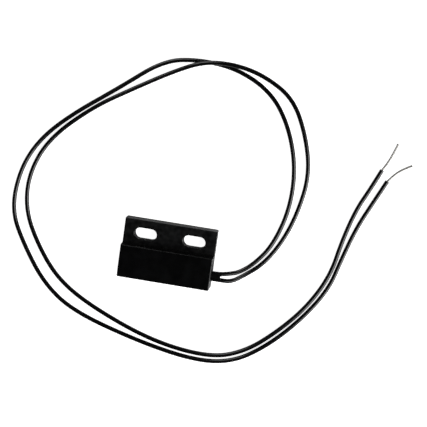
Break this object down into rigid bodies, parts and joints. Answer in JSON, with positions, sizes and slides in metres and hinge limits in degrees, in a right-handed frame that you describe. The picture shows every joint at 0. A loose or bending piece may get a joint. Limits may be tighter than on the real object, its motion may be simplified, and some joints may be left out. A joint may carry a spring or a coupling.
{
  "type": "door contact sensor",
  "caption": "Flange-mount magnetic door contact sensor: a slotted black housing with a potted reed switch and loose leads with stripped ends.",
  "frame": {"origin": "centre of the housing's mounting face, on the surface that it is fixed to", "axes": "+X along the length towards the leads, +Y towards the slotted flange, +Z out of the mounting surface"},
  "size_m": [0.1209, 0.0938, 0.0063],
  "materials": {
    "shell": "moulded thermoplastic, fine satin grain",
    "resin": "cured black epoxy, slightly glossy and uneven",
    "capsule_glass": "clear, faintly green",
    "reed_metal": "nickel iron, plated tips",
    "solder": "bright solder",
    "sleeving": "thin translucent sleeving",
    "conductor": "tinned copper, fine twisted strands",
    "wire_jacket": "smooth PVC, soft sheen"
  },
  "bodies": {
    "sensor": {"housing": "shell", "exit_web": "shell", "wire_a": "wire_jacket", "wire_b": "wire_jacket", "strands_a": "conductor", "strands_b": "conductor", "potting": "resin", "glass_capsule": "capsule_glass", "reed_lead_near": "reed_metal", "reed_lead_far": "reed_metal", "splice_near": "solder", "splice_far": "solder", "sleeve_near": "sleeving", "sleeve_far": "sleeving", "wire_a_core": "conductor", "wire_b_core": "conductor", "wire_a_tail": "wire_jacket", "wire_b_tail": "wire_jacket"},
    "blade_near": {"reed_blade_near": "reed_metal"},
    "blade_far": {"reed_blade_far": "reed_metal"}
  },
  "joints": [
    {"name": "near_blade_flex", "type": "hinge", "parent": "sensor", "child": "blade_near", "pos_m": [0.00355, -0.00397, 0.0026], "axis": [0, 0, 1], "range_deg": [0, 0.45], "stiffness_Nm_per_rad": 0.0004},
    {"name": "far_blade_flex", "type": "hinge", "parent": "sensor", "child": "blade_far", "pos_m": [-0.00535, -0.00423, 0.0026], "axis": [0, 0, 1], "range_deg": [0, 0.45], "stiffness_Nm_per_rad": 0.0004}
  ],
  "couplings": [
    {"joint": "far_blade_flex", "follows": "near_blade_flex", "ratio": 1}
  ]
}
